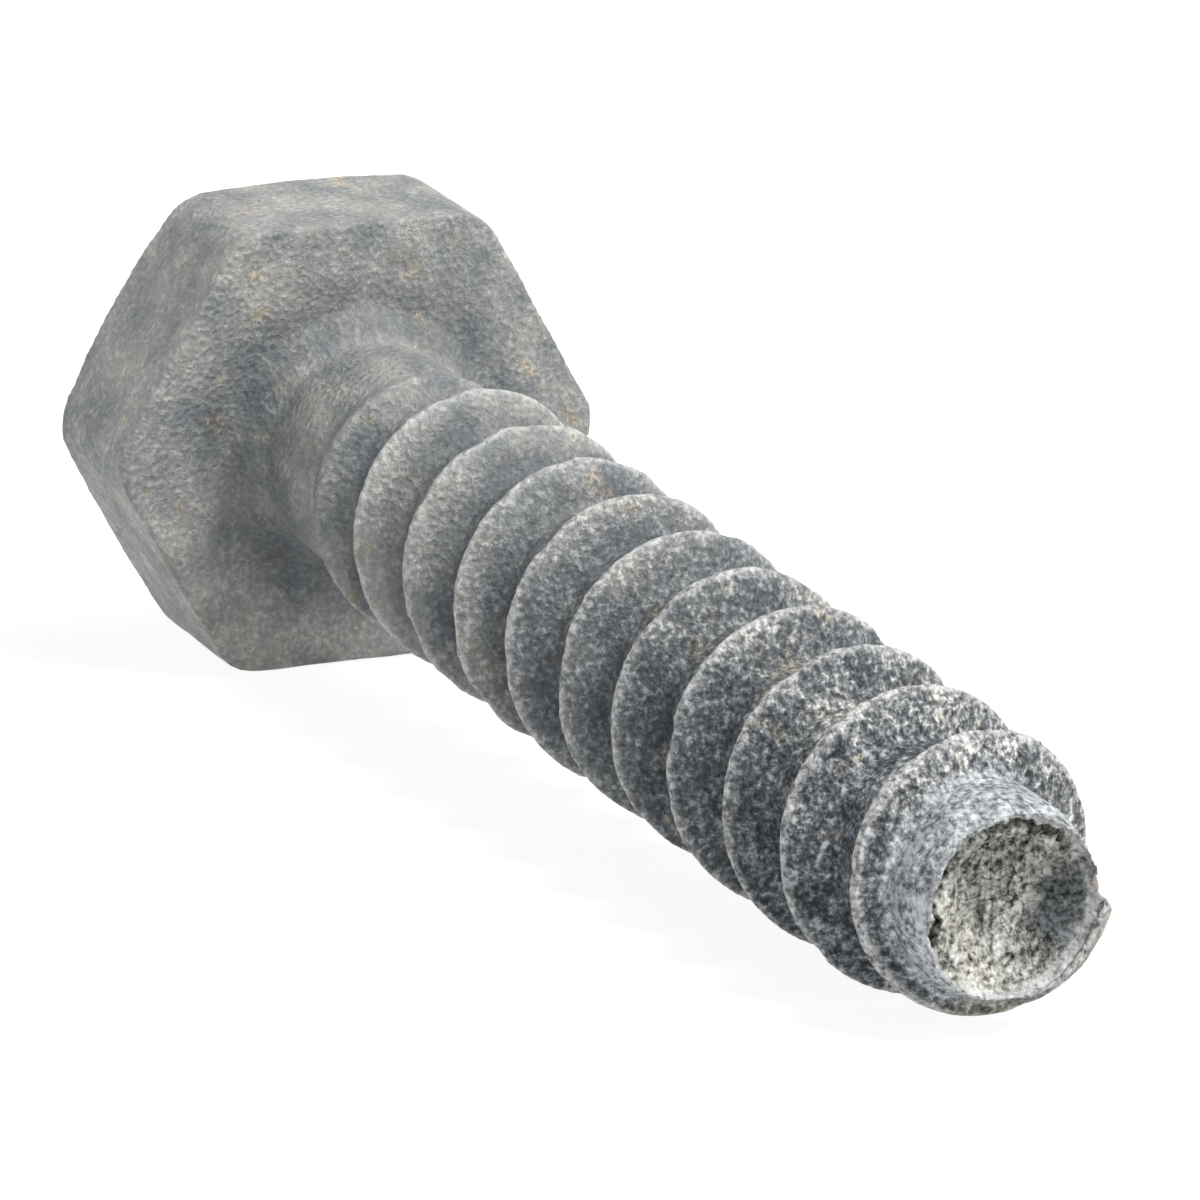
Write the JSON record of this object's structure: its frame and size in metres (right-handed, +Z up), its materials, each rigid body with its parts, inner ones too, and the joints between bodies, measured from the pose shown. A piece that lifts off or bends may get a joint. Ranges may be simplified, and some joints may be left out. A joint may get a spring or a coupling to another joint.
{
  "type": "lag screw",
  "caption": "Weathered galvanised 6 mm hex head lag screw, its point broken off, lying on a head flat and a thread crest.",
  "frame": {"origin": "on the resting surface, under the middle of the screw's bounding box", "axes": "+Z up from the surface the screw lies on, +X along the screw from head to broken end, which dips about 4 degrees; +Y to the left seen from the head"},
  "size_m": [0.036, 0.0112, 0.0103],
  "materials": {
    "galvanised_steel": "matte"
  },
  "bodies": {
    "root": {"lag_screw": "galvanised_steel"}
  },
  "joints": []
}
